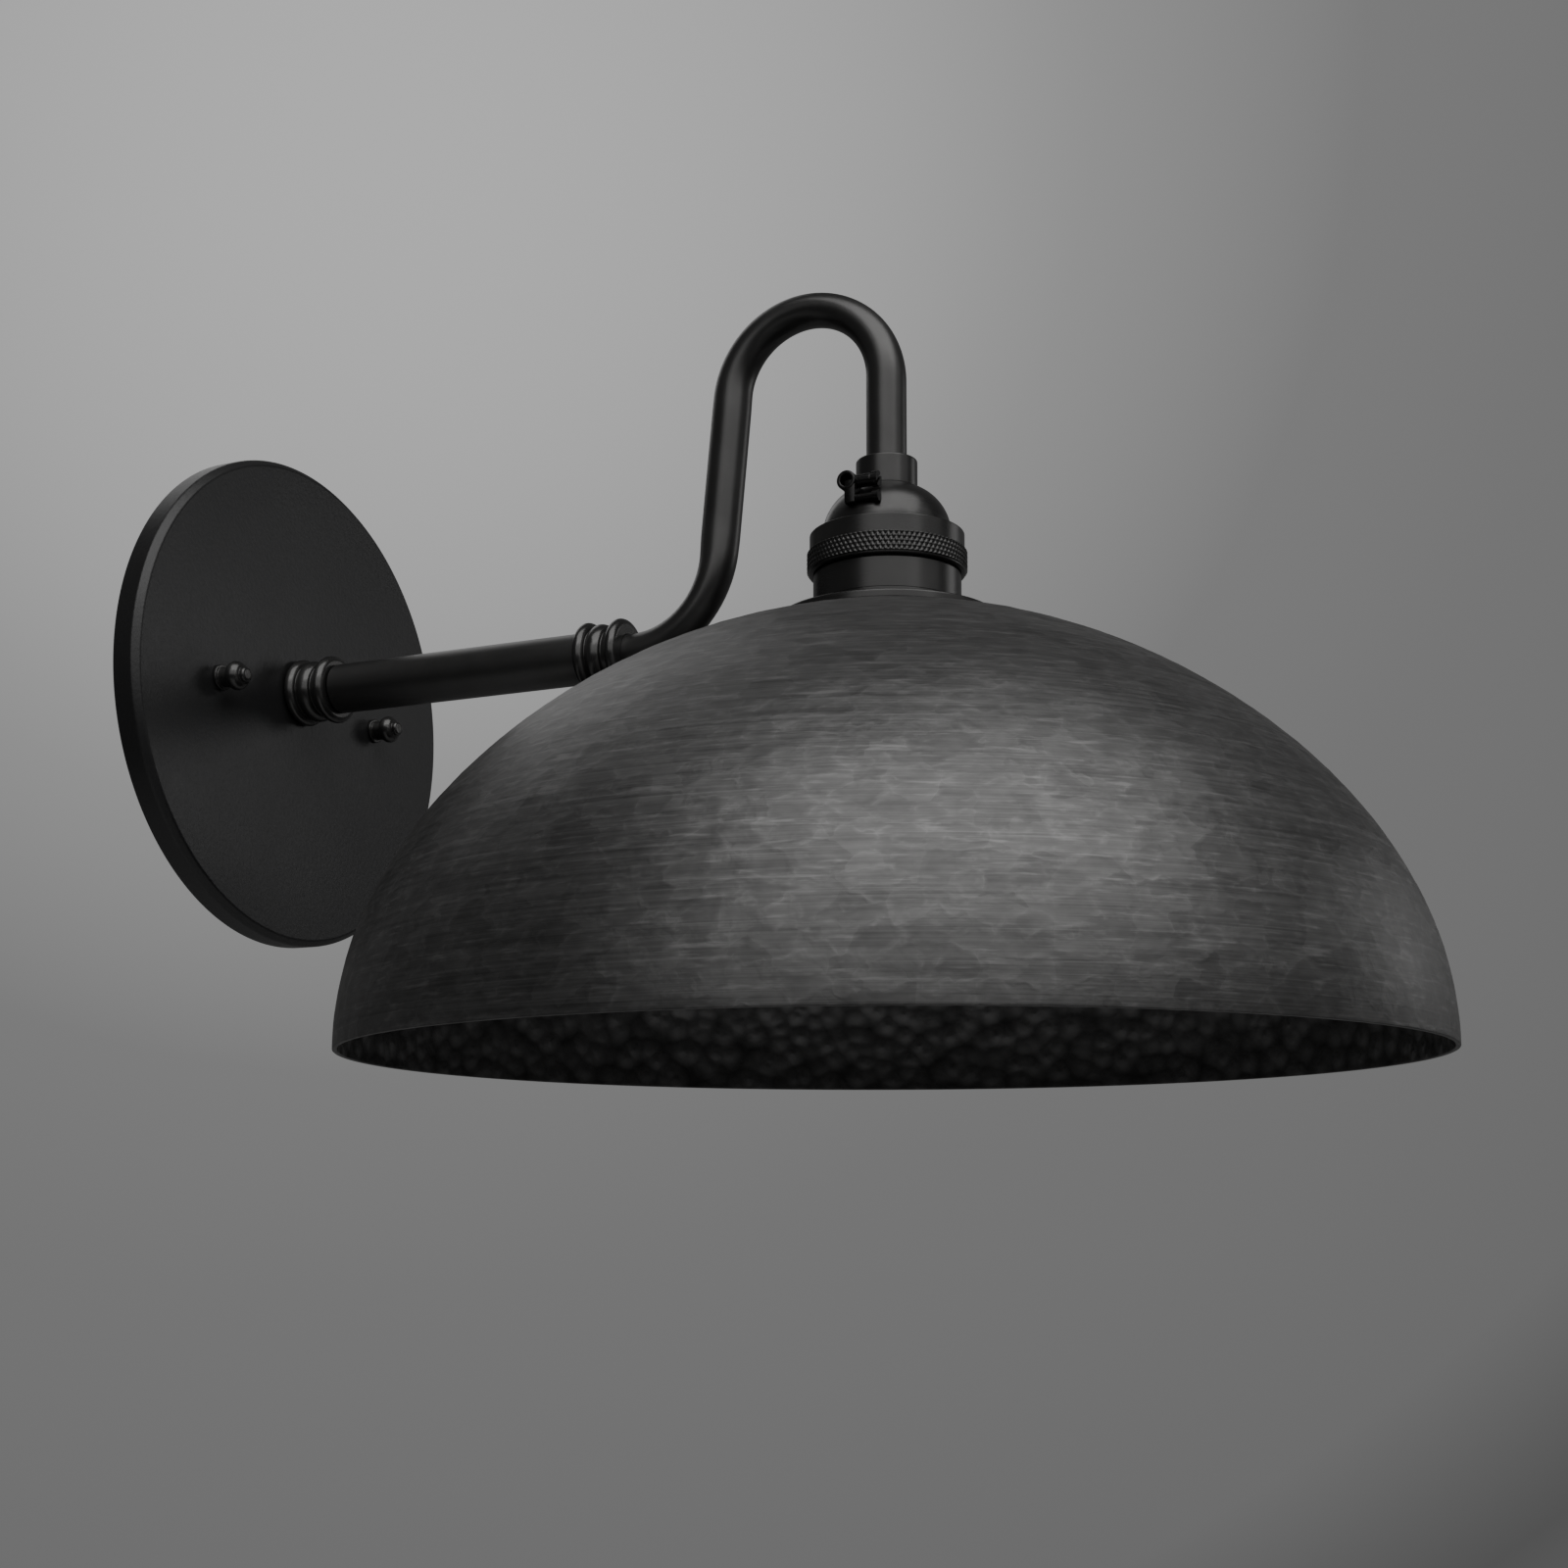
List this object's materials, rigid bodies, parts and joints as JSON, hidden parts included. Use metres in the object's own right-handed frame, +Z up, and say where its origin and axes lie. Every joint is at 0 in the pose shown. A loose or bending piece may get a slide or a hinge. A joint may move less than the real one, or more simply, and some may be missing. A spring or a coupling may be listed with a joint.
{
  "type": "wall sconce",
  "caption": "Gooseneck wall sconce: round backplate, straight arm with turned couplings, bent tube, knurled lamp holder and hammered dome shade.",
  "frame": {"origin": "centre of the wall bracket's back face, on the wall, midway between the box-screw slots", "axes": "+Y into the wall, -Y out into the room along the arm, +X to the viewer's right when facing the wall, +Z up"},
  "size_m": [0.3048, 0.3645, 0.2251],
  "materials": {
    "black_plate": "satin black powder coat",
    "black_tube": "satin black",
    "black_turned": "semi-gloss black on turned metal",
    "black_holder": "satin black on drawn and turned metal",
    "black_shade": "hammered and brushed, satin black",
    "zinc_steel": "bright zinc plate",
    "brass": "mill finish",
    "porcelain": "glazed white",
    "earth_green": "green dyed zinc"
  },
  "bodies": {
    "fixture": {"wall_bracket": "zinc_steel", "bracket_earth_screw": "earth_green", "canopy_stud_left": "zinc_steel", "canopy_stud_right": "zinc_steel", "stud_lock_nut_left": "zinc_steel", "stud_lock_nut_right": "zinc_steel", "backplate": "black_plate", "arm_nipple": "zinc_steel", "arm_washer": "zinc_steel", "arm_lock_nut": "zinc_steel", "coupling_nipple": "zinc_steel", "wall_coupling": "black_turned", "gooseneck_coupling": "black_turned", "straight_tube": "black_tube", "gooseneck": "black_tube", "holder_cap": "black_holder", "shade_sleeve": "black_holder", "seat_ring": "black_holder", "porcelain_core": "porcelain", "screw_shell": "brass", "line_terminal": "brass", "shell_terminal": "brass", "line_terminal_screw": "brass", "shell_terminal_screw": "zinc_steel", "earth_lug": "black_turned", "earth_lug_pin": "black_turned"},
    "cap_left": {"cap_nut_left": "black_turned"},
    "cap_right": {"cap_nut_right": "black_turned"},
    "union": {"union_ring": "black_holder"},
    "shade": {"shade": "black_shade"},
    "shade_ring": {"shade_ring": "black_holder"},
    "contact": {"centre_contact": "brass"},
    "clamp": {"earth_clamp_screw": "black_turned"}
  },
  "joints": [
    {"name": "cap_left_turn", "type": "hinge", "parent": "fixture", "child": "cap_left", "pos_m": [-0.04, -0.0137, 0], "axis": [0, -1, 0], "continuous": true},
    {"name": "cap_right_turn", "type": "hinge", "parent": "fixture", "child": "cap_right", "pos_m": [0.04, -0.0137, 0], "axis": [0, -1, 0], "continuous": true},
    {"name": "union_turn", "type": "hinge", "parent": "fixture", "child": "union", "pos_m": [0, -0.21218, 0.0229], "axis": [0, 0, 1], "continuous": true},
    {"name": "shade_turn", "type": "hinge", "parent": "fixture", "child": "shade", "pos_m": [0, -0.21218, 0.0029], "axis": [0, 0, 1], "continuous": true},
    {"name": "shade_ring_turn", "type": "hinge", "parent": "fixture", "child": "shade_ring", "pos_m": [0, -0.21218, -0.0015], "axis": [0, 0, 1], "continuous": true},
    {"name": "contact_press", "type": "slide", "parent": "fixture", "child": "contact", "axis": [0, 0, 1], "range_m": [0, 0.0015], "stiffness_N_per_m": 400, "springref_m": -0.001},
    {"name": "clamp_turn", "type": "hinge", "parent": "fixture", "child": "clamp", "pos_m": [-0.0168, -0.21558, 0.04011], "axis": [0, -1, 0], "continuous": true}
  ]
}
